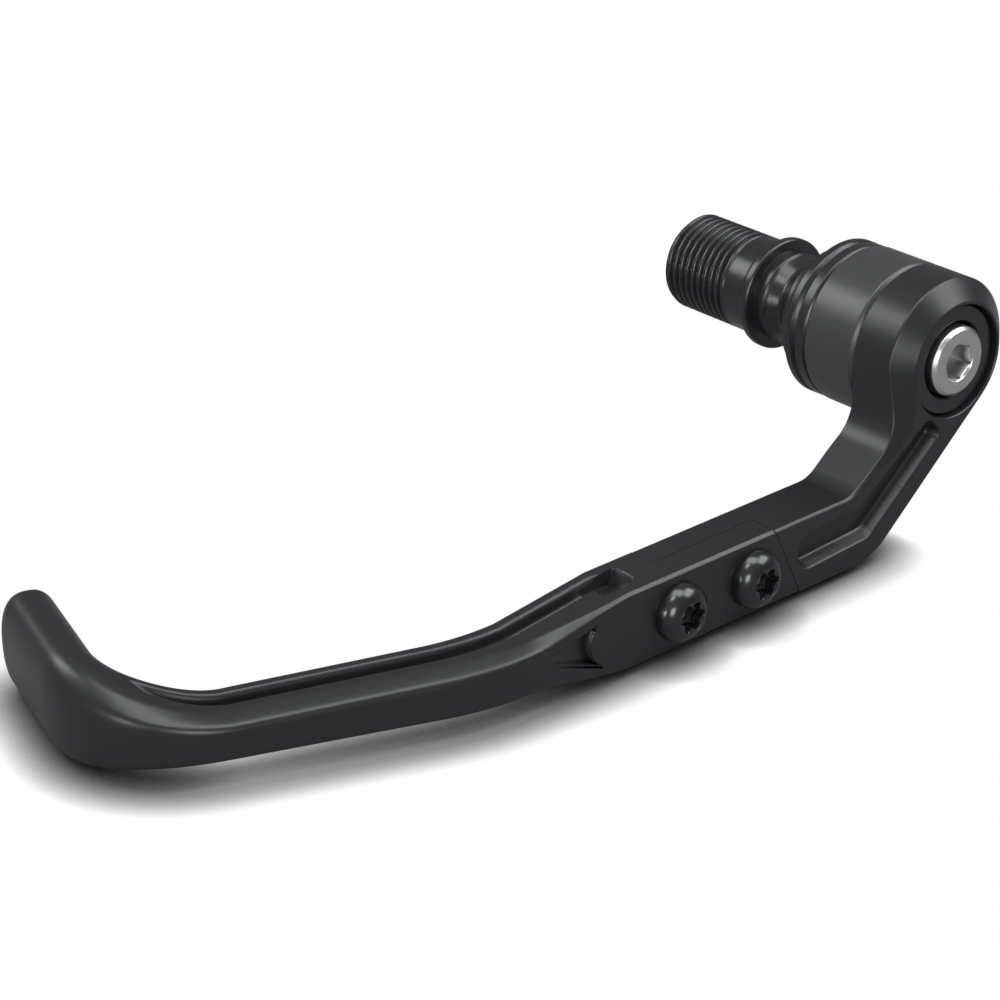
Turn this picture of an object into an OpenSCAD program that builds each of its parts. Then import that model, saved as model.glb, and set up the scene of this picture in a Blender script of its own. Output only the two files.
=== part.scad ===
// Brake lever guard for the end of a motorcycle handlebar.
// A plastic blade with a curled end is screwed to a flat metal arm. The arm is clamped on the bar
// end by one screw, with a cup washer, a sleeve weight, a thin disc and a threaded adaptor.
//
// Frame: X runs along the bar, outboard positive. Z is up. The blade reaches towards -Y.
// X = 0 is the seat of the adaptor's flange on the bar end, on the bar's axis.

/* [Bar adaptor] */
// Outside diameter of the thread that goes into the bar
thread_d = 18; // [14:0.5:22]
// Length of the threaded stem up to the flange seat
stem_len = 20.4; // [14:0.1:30]
// Radius of the flange against the bar end
flange_r = 10.45; // [9.8:0.05:12]
// Thickness of the flange with its bevel
flange_t = 3.1; // [2.4:0.1:5]
// Radius of the waist between flange and collar
waist_r = 7.0; // [6.2:0.1:8]
// Length from the flange seat to the outboard end of the collar
adaptor_len = 19.0; // [16:0.1:26]
// Free depth of the tapped hole beyond the centre screw
tap_spare = 2.6; // [1:0.1:6]

/* [Stack on the bar axis] */
// Radius of collar, disc, sleeve and arm ring
stack_r = 14.5; // [13.5:0.1:17]
// Thickness of the thin disc
disc_t = 2.6; // [1.5:0.1:5]
// Length of the sleeve weight
sleeve_len = 12.05; // [8:0.05:30]
// Small chamfer on the disc
disc_chamfer = 0.5; // [0.2:0.1:1]
// Chamfer on the sleeve's outboard end
sleeve_chamfer = 1.2; // [0.4:0.1:2]

/* [Arm] */
// Thickness of the arm along the bar axis
arm_t = 11.15; // [9:0.05:14]
// Height of the arm where the blade joins it
arm_h = 14.16; // [12:0.02:18]
// Height of the bar axis above the middle of the blade
drop = 24.85; // [20:0.05:32]
// Slope of the arm below the ring, in degrees
arm_slope = 35; // [25:1:45]
// Radius at the face edge of the ring, inside its wide chamfer
ring_face_r = 10.85; // [10.6:0.05:12]
// Depth of that chamfer along the bar axis
ring_chamfer = 3.1; // [1.5:0.1:4.5]
// Radius of the recess for the cup washer
recess_r = 10.35; // [9:0.05:10.5]
// Web left under the cup washer
web_t = 2.0; // [1.5:0.1:4]
// Depth of the long pocket in the outer face
pocket_depth = 2.6; // [1:0.1:4]
// Thickness of the arm's tongue under the blade
tongue_t = 5.4; // [4:0.1:7]

/* [Blade] */
// Distance from the bar axis to the blade screw nearer to it
screw_near = 49.4; // [47:0.1:56]
// Distance between the two blade screws
screw_gap = 17.35; // [14:0.05:22]
// Distance from the bar axis to the end of the blade's full height
full_len = 78; // [76:0.5:84]
// Distance from the bar axis to the bend
bend_at = 104.7; // [100:0.1:112]
// Turn of the bend, in degrees
bend_angle = 20.44; // [12:0.02:28]
// Radius of the bend at the inner face
bend_r = 39; // [25:1:60]
// Length of the straight part between bend and curl
straight_len = 32.3; // [26:0.1:44]
// Height of the blade after its taper
slim_h = 9.5; // [8:0.1:11]
// How much lower the half height gets along the straight part
slim_drop = 0.75; // [0:0.05:1]
// Depth of the groove along the top and the bottom
groove_depth = 2.6; // [0.6:0.1:3]
// Depth of the curved notch in the outer face, beyond the lap
notch_depth = 1.3; // [0.4:0.1:2]
// Distance from the lap's end over which the notch runs out
notch_run = 17.2; // [12:0.1:19]

/* [Curled end] */
// Radius of the first part of the curl, at the middle of the blade
curl_r = 22.3; // [15:0.1:30]
// Turn of the first part, in degrees
curl_turn = 46; // [30:0.5:60]
// Radius of the second part
curl_r2 = 19.1; // [16:0.1:36]
// Turn of the second part, in degrees
curl_turn2 = 39.5; // [20:0.5:45]
// Length of the straight end with its cap
end_len = 24.9; // [15:0.1:32]
// Length of the rounded cap
cap_len = 5.4; // [4:0.1:9]
// Height of the rounded end
end_h = 18.2; // [9:0.1:21]
// Thickness of the rounded end
end_w = 9.9; // [9:0.1:13]

/* [Fasteners] */
// Thread diameter of the centre screw
centre_d = 8; // [6:1:8]
// Length of the centre screw below its head
centre_len = 35; // [34:1:38]
// Head diameter of the centre screw
centre_head_d = 13; // [11:0.1:13]
// Head height of the centre screw
centre_head_h = 8; // [6:0.1:8]
// Thread diameter of the blade screws
screw_d = 6; // [5:1:6]
// Head diameter of the blade screws
screw_head_d = 10.4; // [9:0.1:11]
// Head height of the blade screws
screw_head_h = 3.3; // [2.5:0.1:4]

/* [Hidden] */
$fn = 96;
// clearance round a screw that passes through, and a cut's overlap
fit = 0.25;
over = 1;
// places along the bar axis
disc_x = adaptor_len;
sleeve_x = disc_x + disc_t;
arm_x = sleeve_x + sleeve_len;
face_x = arm_x + arm_t;
tongue_x = arm_x + tongue_t;
washer_x = arm_x + web_t;
head_x = face_x - 0.2 - centre_head_h;
// blade stations, negative Y
screw_far = screw_near + screw_gap;
screw_ys = [-screw_near, -screw_far];
half_h = arm_h / 2;
seam_lean = 24.6;
seam_y = -41.1;
tongue_end_r = 9;
tongue_end_y = -screw_far + 2;

// Turns a profile drawn as [x, radius] about the bar axis.
module turned(profile) {
    rotate([0, 90, 0])
        rotate_extrude()
            polygon([for (p = profile) [p[1], p[0]]]);
}

// Raises an outline drawn as [y, z] along the bar axis, from x0 over a length.
module along_bar(x0, length) {
    translate([x0, 0, 0])
        rotate([90, 0, 90])
            linear_extrude(length)
                children();
}

// A cylinder parallel to the bar axis at [y, z].
module bar_cylinder(x0, length, radius, at = [0, 0]) {
    translate([x0, at[0], at[1]])
        rotate([0, 90, 0])
            cylinder(r = radius, h = length);
}

// Corner i of an outline replaced by an arc of the given radius.
function fillet(points, radii, i, steps = 10) =
    let (
        n = len(points),
        p = points[i],
        a = points[(i + n - 1) % n] - p,
        b = points[(i + 1) % n] - p,
        ua = a / norm(a),
        ub = b / norm(b),
        half = acos(ua * ub) / 2,
        r = radii[i],
        reach = r / tan(half),
        mid = (ua + ub) / norm(ua + ub),
        c = p + mid * r / sin(half),
        start = p + ua * reach - c,
        end = p + ub * reach - c,
        a0 = atan2(start[1], start[0]),
        turn = (atan2(end[1], end[0]) - a0 + 540) % 360 - 180
    )
    r <= 0 ? [p] : [for (k = [0:steps]) c + r * [cos(a0 + turn * k / steps), sin(a0 + turn * k / steps)]];

// An outline with each corner rounded.
function rounded(points, radii, steps = 10) =
    [for (i = [0:len(points) - 1]) each fillet(points, radii, i, steps)];

// The point where two lines, each given as a point and a direction, cross.
function crossing(p, d, q, e) =
    p + d * ((q - p)[0] * e[1] - (q - p)[1] * e[0]) / (d[0] * e[1] - d[1] * e[0]);

// An outline moved inwards by the same distance on every side; corners run anticlockwise.
function shrunk(points, by) =
    let (n = len(points))
    [for (i = [0:n - 1])
        let (
            before = points[(i + n - 1) % n],
            p = points[i],
            after = points[(i + 1) % n],
            d = (p - before) / norm(p - before),
            e = (after - p) / norm(after - p)
        )
        crossing(p + by * [-d[1], d[0]], d, p + by * [-e[1], e[0]], e)];

// Arm

// unit vectors along the sloping part and across it, outwards on the lower side
slope_dir = [-cos(arm_slope), -sin(arm_slope)];
slope_out = [sin(arm_slope), -cos(arm_slope)];
arm_top = -drop + half_h;
arm_bottom = -drop - half_h;
upper_elbow = [arm_top / tan(arm_slope), arm_top];
// the walls meet the ring just inside its own radius
wall_r = stack_r - 0.05;
lower_elbow = crossing(slope_out * wall_r, slope_dir, [0, arm_bottom], [1, 0]);
ring_left = [-wall_r, -wall_r * tan(arm_slope)];
// the face edge: where the wide chamfer runs out on the lower and the upper side
lower_edge_angle = 40.5;
upper_runout = [-16.4, -11.2];
upper_edge_angle = 180 - acos(ring_face_r / norm(upper_runout)) + atan2(-upper_runout[1], -upper_runout[0]);
chamfer_reach = stack_r - ring_face_r;
chamfer_slope = atan2(ring_chamfer, chamfer_reach);

// The tongue's round end, from its top corner down to its bottom corner, to a given half height.
function tongue_end(reach, steps = 12) =
    let (a = asin(reach / tongue_end_r))
    [for (k = [0:steps]) [tongue_end_y, -drop] + tongue_end_r * [-cos(a - 2 * a * k / steps), sin(a - 2 * a * k / steps)]];

function arm_outline() =
    let (end = tongue_end(half_h), n = len(end))
    rounded(concat([
        [-wall_r, 0],
        ring_left,
        upper_elbow
    ], end, [
        lower_elbow,
        slope_out * wall_r,
        [0, 0]
    ]), concat([0, 8, 6], [for (p = end) 0], [14, 0, 0]));

// the flat ends of the chamfer start just clear of its cone, and lap over it
cone_gap = 0.02;
cone_lap = 0.4;

// Removes everything above a sloping plane: face edge at distance ring_face_r from the axis,
// in the direction given by its outward normal's angle in the YZ plane.
module edge_cut(normal_angle, from, to) {
    translate([face_x, 0, 0])
        rotate([normal_angle, 0, 0])
            translate([0, ring_face_r + cone_gap, 0])
                rotate([0, 0, 90 - chamfer_slope])
                    translate([0, 0, from])
                        cube([20, 20, to - from]);
}

// Long pocket in the outer face, following the bend of the arm, with sloping walls.
module arm_pocket() {
    rim = [[-38.7, -21.05], [-38.7, -28.05], [-20.8, -27.06], [-3.0, -12.44], [-6.6, -8.7], [-24, -20.5]];
    low = shrunk(rim, 1.3);
    top = rounded(rim, [2, 3, 5, 1.8, 1.8, 4], 6);
    bed = rounded(low, [1.4, 2, 4, 1, 1, 4], 6);
    n = len(top);
    translate([face_x, 0, 0])
        polyhedron(
            points = concat(
                [for (p = top) [over, p[0], p[1]]],
                [for (p = top) [0, p[0], p[1]]],
                [for (p = bed) [-pocket_depth, p[0], p[1]]]),
            faces = concat(
                [[for (i = [0:n - 1]) n - 1 - i]],
                [for (k = [0, n]) for (i = [0:n - 1]) [k + i, k + (i + 1) % n, k + n + (i + 1) % n]],
                [for (k = [0, n]) for (i = [0:n - 1]) [k + i, k + n + (i + 1) % n, k + n + i]],
                [[for (i = [0:n - 1]) 2 * n + i]]));
}

// The slanted step where the arm drops to its tongue.
function seam_line(z) = seam_y - (z + drop) * tan(seam_lean);

module mount_arm() {
    color([0.13, 0.13, 0.14])
        difference() {
            union() {
                along_bar(arm_x, arm_t)
                    polygon(arm_outline());
                bar_cylinder(arm_x, arm_t, stack_r);
            }
            // cone of the ring's chamfer, above the sloping part only
            intersection() {
                difference() {
                    bar_cylinder(face_x - ring_chamfer - over, ring_chamfer + 2 * over, stack_r + 3);
                    turned([
                        [face_x - ring_chamfer - 2 * over, 0],
                        [face_x - ring_chamfer - 2 * over, stack_r + 2 * over * chamfer_reach / ring_chamfer],
                        [face_x + 2 * over, ring_face_r - 2 * over * chamfer_reach / ring_chamfer],
                        [face_x + 2 * over, 0]
                    ]);
                }
                along_bar(arm_x, arm_t + 2 * over)
                    polygon(concat(
                        [[0, 0]],
                        [for (k = [0:20]) let (a = mix(lower_edge_angle - 90, upper_edge_angle, k / 20))
                            (stack_r + 9) * [cos(a), sin(a)]]));
            }
            edge_cut(lower_edge_angle - 90, -38, cone_lap);
            edge_cut(upper_edge_angle, -cone_lap, norm(upper_runout) * sin(acos(ring_face_r / norm(upper_runout))));
            // seat for the cup washer and the hole for the centre screw
            bar_cylinder(washer_x, arm_t, recess_r);
            bar_cylinder(arm_x - over, arm_t, centre_d / 2 + fit);
            arm_pocket();
            // step down to the tongue
            along_bar(tongue_x, arm_t)
                polygon([
                    [seam_line(arm_top + over), arm_top + over],
                    [seam_line(arm_bottom - over), arm_bottom - over],
                    [-screw_far - 3 * half_h, arm_bottom - over],
                    [-screw_far - 3 * half_h, arm_top + over]
                ]);
            for (y = screw_ys)
                bar_cylinder(arm_x - over, arm_t, screw_d / 2, [y, -drop]);
        }
}

// Blade

// Walks along a chain of pieces, each [length, turn to the left in degrees], and returns
// [x, y, heading] at distance s.
function walk(s, chain, i = 0, at = [0, 0], heading = 0) =
    let (
        piece = chain[i],
        last = i == len(chain) - 1,
        d = last ? s : min(s, piece[0]),
        turn = piece[1] * d / piece[0],
        r = piece[1] == 0 ? 0 : piece[0] / (piece[1] * PI / 180),
        to = piece[1] == 0
            ? at + d * [cos(heading), sin(heading)]
            : at + r * [sin(heading + turn) - sin(heading), cos(heading) - cos(heading + turn)]
    )
    last || s <= piece[0] ? [to[0], to[1], heading + turn] : walk(s - piece[0], chain, i + 1, to, heading + turn);

// the line along the blade's inner face, from the arm to the tip
blade_from = 36;
bend_reach = bend_r * tan(bend_angle / 2);
curl_in = curl_r - arm_t / 2;
curl_in2 = curl_r2 - arm_t / 2;
chain = [
    [bend_at - bend_reach - blade_from, 0],
    [bend_r * bend_angle * PI / 180, -bend_angle],
    [straight_len, 0],
    [curl_in * curl_turn * PI / 180, -curl_turn],
    [curl_in2 * curl_turn2 * PI / 180, -curl_turn2],
    [end_len, 0]
];
lengths = [for (c = chain) c[0]];
function run(n) = n < 0 ? 0 : run(n - 1) + lengths[n];
full_s = full_len - blade_from;
bend_s = run(0);
straight_s = run(1);
curl_s = run(2);
end_s = run(4);
tip_s = run(5);

function ease(t) = let (u = max(0, min(1, t))) u * u * (3 - 2 * u);
function ramp(t) = max(0, min(1, t));
function mix(a, b, t) = a + (b - a) * t;

// how far the section has grown into the tall end, and how far it has gone round, 0 to 1
function growth_at(s) = ease((s - curl_s) / (end_s - curl_s));
function round_at(s) = ease((s - curl_s + 1.7) / (end_s - curl_s + 1.7));
// half height of the blade without and with that growth
function slim_at(s) = mix(half_h, slim_h / 2, ramp((s - full_s) / (bend_s - full_s)))
    - slim_drop * ramp((s - bend_s) / (curl_s - bend_s));
function half_at(s) = mix(slim_at(s), end_h / 2, growth_at(s));
// start of its outer chamfer and half height of its outer face
function chamfer_at(s) = mix(0.8, 4.2, ease((s - full_s) / (straight_s - full_s + 4)));
function face_at(s) = (mix(half_h - 0.8, 3.3, ease((s - full_s + 1) / (bend_s - full_s)))
    - 0.5 * ramp((s - bend_s) / (curl_s - bend_s))) * half_at(s) / slim_at(s);
function groove_at(s) = groove_depth * ease((s - full_s + 2) / 4) * (1 - ease((s - curl_s - 9) / 8));

// Upper half of the section, inner side first, as [w, z] from the inner face and the mid plane.
rim_w = 2.3;
lip_w = 5.1;
edge_r = 0.6;
function upper(s) =
    let (
        h = half_at(s),
        g = groove_at(s),
        c = chamfer_at(s),
        f = face_at(s),
        w = arm_t
    ) [
        [0, 0], [0, 0.4 * h], [0, 0.7 * h],
        [0, h - edge_r], [0.3 * edge_r, h - 0.3 * edge_r], [edge_r, h],
        [rim_w, h], [rim_w + 0.4, h - g], [lip_w - 0.3, h - g],
        [lip_w, h - 0.35 * g], [lip_w + 0.25, h - 0.1 * g], [lip_w + 0.8, h],
        [mix(w - c, lip_w + 0.8, 0.4), h], [w - c, h],
        [w - 0.75 * c, mix(h, f, 0.22)], [w - 0.35 * c, mix(h, f, 0.6)],
        [w - 0.1 * c, mix(h, f, 0.88)], [w, f - 0.35],
        [w, 0.6 * f], [w, 0.3 * f], [w, 0]
    ];
// the same number of points spread on an oval, as angles from the outer side
spread = [180, 169, 158, 147, 138, 129, 120, 111, 103, 96, 89, 82, 74, 66, 57, 48, 38, 28, 18, 9, 0];
oval_power = 2.57;
function oval(a, w, h) = [
    sign(cos(a)) * pow(abs(cos(a)), 2 / oval_power) * w / 2 + arm_t / 2,
    pow(abs(sin(a)), 2 / oval_power) * h
];
function cap_at(s) = s <= tip_s - cap_len ? 1 : sqrt(max(0, 1 - pow((s - tip_s + cap_len) / cap_len, 2)));
function half_section(s) =
    let (
        u = upper(s),
        k = round_at(s),
        c = cap_at(s),
        middle = [arm_t / 2, 0]
    )
    [for (i = [0:len(u) - 1]) middle + c * (mix(u[i], oval(spread[i], mix(arm_t, end_w, growth_at(s)), half_at(s)), k) - middle)];
function section(s) =
    let (u = half_section(s), n = len(u))
    concat(u, [for (i = [n - 2:-1:1]) [u[i][0], -u[i][1]]]);

// a section placed across the line of the inner face
function placed(s) =
    let (
        at = walk(s, chain, 0, [arm_x, -blade_from], -90),
        out = [-sin(at[2]), cos(at[2])]
    )
    [for (p = section(s)) [at[0] + out[0] * p[0], at[1] + out[1] * p[0], p[1] - drop]];

stations = concat(
    [0, full_s - 2.5, full_s - 1.2, full_s],
    [for (t = [1:6]) full_s + 1.2 * t],
    [for (t = [1:5]) mix(full_s + 7.2, bend_s, t / 5)],
    [for (t = [1:9]) mix(bend_s, straight_s, t / 9)],
    [for (t = [1:5]) mix(straight_s, curl_s, t / 5)],
    [for (t = [1:26]) mix(curl_s, end_s, t / 26)],
    [for (t = [1:6]) mix(end_s, tip_s - cap_len, t / 6)],
    [for (t = [1:8]) tip_s - cap_len + cap_len * sin(t * 10.6)]
);

module blade_body() {
    rings = [for (s = stations) placed(s)];
    n = len(rings[0]);
    m = len(rings);
    first = (rings[0][0] + rings[0][n / 2]) / 2;
    last = (rings[m - 1][0] + rings[m - 1][n / 2]) / 2;
    polyhedron(
        points = concat([for (r = rings) each r], [first, last]),
        faces = concat(
            [for (i = [0:n - 1]) [m * n, (i + 1) % n, i]],
            [for (j = [0:m - 2]) for (i = [0:n - 1])
                [j * n + i, j * n + (i + 1) % n, (j + 1) * n + i]],
            [for (j = [0:m - 2]) for (i = [0:n - 1])
                [j * n + (i + 1) % n, (j + 1) * n + (i + 1) % n, (j + 1) * n + i]],
            [for (i = [0:n - 1]) [m * n + 1, (m - 1) * n + i, (m - 1) * n + (i + 1) % n]]));
}

// The start of the groove: a pocket whose floor rises from the groove's bed to the outer edge.
module groove_start() {
    inner = arm_x + rim_w + 0.2;
    outer = face_x - 2.2;
    near = -full_len + 4.6;
    far = -full_len - 2.9;
    intersection() {
        translate([0, near, -drop + half_h])
            rotate([90, 0, 0])
                linear_extrude(near - far)
                    polygon([[inner, -groove_depth], [inner + 0.9, -groove_depth], [outer, 0.02],
                        [outer, over], [inner, over]]);
        translate([0, 0, -drop])
            linear_extrude(half_h + 2 * over)
                polygon([[inner, near], [outer - 1.8, near - 0.35], [outer, near - 3.55],
                    [outer, far + 0.1], [outer - 3, far - 0.05], [inner, far]]);
    }
}

// A hollow in the outer face: an outline drawn as [y, z from the blade's middle], with a floor that
// sinks evenly from the face at y0 to the given depth at y1.
module hollow(outline, y0, y1, depth) {
    intersection() {
        translate([0, 0, -drop])
            along_bar(face_x - depth - over, depth + 2 * over)
                polygon(outline);
        translate([0, 0, arm_bottom])
            linear_extrude(arm_h)
                polygon([[face_x + over, y0], [face_x, y0], [face_x - depth, y1], [face_x + over, y1]]);
    }
}

// The curved notch beyond the lap and the slim slot below it.
module notches() {
    y0 = -full_len - notch_run;
    y1 = -full_len - 5.8;
    notch_r = 4.48;
    centre = [y1 + 1.83, 0.25];
    hollow(concat(
        [[y0 + 0.4, 1.9]],
        [[y0, 0.8]],
        [for (k = [0:10]) let (a = 242 - 119 * k / 10) centre + notch_r * [cos(a), sin(a)]]), y0, y1, notch_depth);
    hollow([[y0, 0.55], [y0, -0.1], [y1, -4.5], [y1 - 0.1, -3.95]], y0, y1, 0.6 * notch_depth);
}

module guard_blade() {
    color([0.15, 0.15, 0.16])
        difference() {
            blade_body();
            // room for the arm's tongue, with its round end
            along_bar(arm_x - over, tongue_t + over)
                polygon(concat(tongue_end(half_h + over, 14), [
                    [-blade_from + over, arm_bottom - over],
                    [-blade_from + over, arm_top + over]
                ]));
            // slanted end at the seam
            along_bar(tongue_x - over, arm_t)
                polygon([
                    [seam_line(arm_top + over), arm_top + over],
                    [seam_line(arm_bottom - over), arm_bottom - over],
                    [-blade_from + over, arm_bottom - over],
                    [-blade_from + over, arm_top + over]
                ]);
            for (y = screw_ys)
                bar_cylinder(arm_x, arm_t + over, screw_d / 2 + fit, [y, -drop]);
            groove_start();
            translate([0, 0, -2 * drop])
                mirror([0, 0, 1])
                    groove_start();
            notches();
        }
}

// Fasteners and turned parts

// Six-lobe socket outline.
module lobes(r) {
    circle(r * 0.74);
    for (a = [0:60:300])
        rotate(a)
            translate([r * 0.8, 0])
                circle(r * 0.2);
}

module blade_screws() {
    color([0.1, 0.1, 0.11])
        for (y = screw_ys)
            translate([0, y, -drop])
                difference() {
                    union() {
                        turned([
                            [face_x, 0],
                            [face_x, screw_head_d / 2 - 0.1],
                            for (a = [0:10:70])
                                [face_x + 0.3 + (screw_head_h - 0.3) * sin(a) / sin(70),
                                    screw_head_d / 2 - (screw_head_d / 2 - 3.1) * (1 - cos(a)) / (1 - cos(70))],
                            [face_x + screw_head_h, 0]
                        ]);
                        turned([
                            [arm_x + 0.8, 0],
                            [arm_x + 0.8, screw_d / 2 - 0.7],
                            [arm_x + 1.5, screw_d / 2],
                            [face_x + 0.1, screw_d / 2],
                            [face_x + 0.1, 0]
                        ]);
                    }
                    along_bar(face_x + screw_head_h - 2.2, 3)
                        lobes(2.75);
                }
}

module centre_screw() {
    end = head_x - centre_len;
    top = head_x + centre_head_h;
    color([0.62, 0.62, 0.63])
        difference() {
            turned([
                [end, 0],
                [end, centre_d / 2 - 1],
                [end + 1, centre_d / 2],
                [head_x, centre_d / 2],
                [head_x, centre_head_d / 2],
                [top - 0.7, centre_head_d / 2],
                [top, centre_head_d / 2 - 0.7],
                [top, 3.46],
                [top - 0.35, 3.05],
                [top - 0.35, 0]
            ]);
            translate([top - 4.4, 0, 0])
                rotate([40, 0, 0])
                    rotate([90, 0, 90])
                        cylinder(r = 6 / sqrt(3), h = 5, $fn = 6);
        }
}

module clamp_washer() {
    out = recess_r - 0.12;
    well = centre_head_d / 2 + 0.5;
    top = face_x - 1.1;
    color([0.12, 0.12, 0.13])
        turned([
            [washer_x, centre_d / 2 + fit],
            [washer_x, out],
            [top - 0.5, out],
            [top, out - 0.4],
            [top, well + 0.3],
            [top - 0.3, well],
            [head_x, well],
            [head_x, centre_d / 2 + fit]
        ]);
}

module end_sleeve() {
    hole = centre_d / 2 + fit;
    color([0.2, 0.2, 0.21])
        turned([
            [sleeve_x, hole],
            [sleeve_x, stack_r - 0.3],
            [sleeve_x + 0.3, stack_r],
            [arm_x - sleeve_chamfer, stack_r],
            [arm_x, stack_r - sleeve_chamfer],
            [arm_x, hole]
        ]);
}

module spacer_disc() {
    hole = centre_d / 2 + fit;
    color([0.13, 0.13, 0.14])
        turned([
            [disc_x, hole],
            [disc_x, stack_r - 0.3],
            [disc_x + 0.2, stack_r - 0.1],
            [sleeve_x - disc_chamfer, stack_r - 0.1],
            [sleeve_x, stack_r - 0.1 - disc_chamfer],
            [sleeve_x, hole]
        ]);
}

module bar_adaptor() {
    thread_r = thread_d / 2;
    boss_r = 8.4;
    neck_x = flange_t + 4.6;
    cone_x = adaptor_len - 5.4;
    tap_end = head_x - centre_len - tap_spare;
    color([0.12, 0.12, 0.13])
        turned([
            [-stem_len, 0],
            [-stem_len, thread_r - 1],
            [-stem_len + 1, thread_r],
            [0, thread_r],
            [flange_t / 2, flange_r],
            [flange_t - 0.3, flange_r],
            [flange_t, flange_r - 0.3],
            [flange_t, boss_r],
            [flange_t + 2.1, boss_r],
            [flange_t + 2.5, boss_r - 0.4],
            for (a = [0:15:90])
                [neck_x - 2.1 + 2.1 * sin(a), waist_r + (boss_r - 0.4 - waist_r) * (1 - sin(a))],
            for (t = [0.25:0.25:1])
                [mix(neck_x, cone_x, t), waist_r + 4.9 * t * t],
            for (a = [0:15:90])
                [cone_x + 3.3 * sin(a), stack_r - 2.6 + 2.55 * (1 - cos(a))],
            [adaptor_len - 0.9, stack_r - 0.05],
            [adaptor_len, stack_r - 0.8],
            [adaptor_len, centre_d / 2],
            [tap_end, centre_d / 2],
            [tap_end - centre_d / 4, 0]
        ]);
}

guard_blade();
mount_arm();
blade_screws();
centre_screw();
clamp_washer();
end_sleeve();
spacer_disc();
bar_adaptor();
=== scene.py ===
"""Dresses the brake lever guard: a black plastic blade on a milled arm, clamped to a bar end."""
import math

import bmesh
import bpy
import numpy as np
from mathutils import Matrix, Vector


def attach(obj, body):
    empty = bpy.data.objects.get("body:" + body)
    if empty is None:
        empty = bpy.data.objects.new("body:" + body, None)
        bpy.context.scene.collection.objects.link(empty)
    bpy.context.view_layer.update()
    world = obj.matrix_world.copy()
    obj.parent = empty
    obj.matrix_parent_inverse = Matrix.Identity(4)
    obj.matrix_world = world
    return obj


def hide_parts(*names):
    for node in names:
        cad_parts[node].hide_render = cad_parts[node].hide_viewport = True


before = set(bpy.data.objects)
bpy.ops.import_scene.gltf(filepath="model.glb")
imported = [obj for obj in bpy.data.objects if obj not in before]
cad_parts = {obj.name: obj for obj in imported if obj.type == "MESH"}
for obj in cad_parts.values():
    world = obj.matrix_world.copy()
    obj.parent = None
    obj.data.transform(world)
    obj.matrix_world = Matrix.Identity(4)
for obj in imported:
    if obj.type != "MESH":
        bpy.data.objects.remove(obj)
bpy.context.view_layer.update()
MM = 0.001

# Sizes in mm, as in the part's source
STEM = 20.4
FLANGE_R, FLANGE_T, WAIST_R = 10.45, 3.1, 7.0
ADAPTOR = 19.0
STACK_R = 14.5
DISC_X, SLEEVE_X, ARM_X = 19.0, 21.6, 33.65
ARM_T, ARM_H, DROP = 11.15, 14.16, 24.85
FACE_X = ARM_X + ARM_T
TONGUE_T = 5.4
TONGUE_X = ARM_X + TONGUE_T
WEB = 2.0
RECESS_R = 10.35
SCREW_NEAR, SCREW_GAP = 49.4, 17.35
FULL_LEN = 78.0
BORE_R = 4.25
HEAD_X = FACE_X - 8.2
SHANK_LEN, SHANK_R, TAP_SPARE = 35.0, 4.0, 2.6
SCREW_HOLE_R = 3.05
SCREW_YS = (-SCREW_NEAR, -SCREW_NEAR - SCREW_GAP)
HALF_H = ARM_H / 2
TOP_Z, BOTTOM_Z = -DROP + HALF_H, -DROP - HALF_H


# Meshes

def make_piece(name, points, faces, smooth_angle=32):
    """A closed mesh from points in mm, with its normals outwards."""
    mesh = bpy.data.meshes.new(name)
    mesh.from_pydata([[c * MM for c in p] for p in points], [], faces)
    bm = bmesh.new()
    bm.from_mesh(mesh)
    bmesh.ops.remove_doubles(bm, verts=bm.verts, dist=1e-7)
    bmesh.ops.recalc_face_normals(bm, faces=bm.faces)
    bm.to_mesh(mesh)
    bm.free()
    obj = bpy.data.objects.new(name, mesh)
    bpy.context.scene.collection.objects.link(obj)
    shade(obj, smooth_angle)
    return obj


def shade(obj, smooth_angle=32):
    """Smooth shading that keeps flat faces flat and sharp edges sharp."""
    mesh = obj.data
    mesh.shade_smooth()
    mesh.set_sharp_from_angle(angle=math.radians(smooth_angle))
    weigh = obj.modifiers.new("flat faces first", "WEIGHTED_NORMAL")
    weigh.keep_sharp = True
    weigh.weight = 60


def finished(obj):
    """The object with its modifiers applied to its mesh."""
    depsgraph = bpy.context.evaluated_depsgraph_get()
    mesh = bpy.data.meshes.new_from_object(obj.evaluated_get(depsgraph), preserve_all_data_layers=True,
                                           depsgraph=depsgraph)
    mesh.name = obj.name
    obj.modifiers.clear()
    obj.data = mesh
    return obj


def cut(obj, tool, operation="DIFFERENCE"):
    """obj with a tool's volume cut off, or joined or kept; the tool is used up."""
    mod = obj.modifiers.new("cut", "BOOLEAN")
    mod.operation = operation
    mod.object = tool
    mod.solver = "MANIFOLD"
    finished(obj)
    bpy.data.objects.remove(tool)
    return obj


def raised(name, outline, axis, low, high):
    """A prism in mm. Axis x takes an outline in y and z, axis y one in x and z, axis z one in x and y."""
    place = {"x": lambda u, v, w: (w, u, v), "y": lambda u, v, w: (u, w, v),
             "z": lambda u, v, w: (u, v, w)}[axis]
    n = len(outline)
    points = [place(u, v, w) for w in (low, high) for u, v in outline]
    faces = [list(range(n))[::-1], list(range(n, 2 * n))]
    faces += [[i, (i + 1) % n, n + (i + 1) % n, n + i] for i in range(n)]
    return make_piece(name, points, faces)


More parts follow.
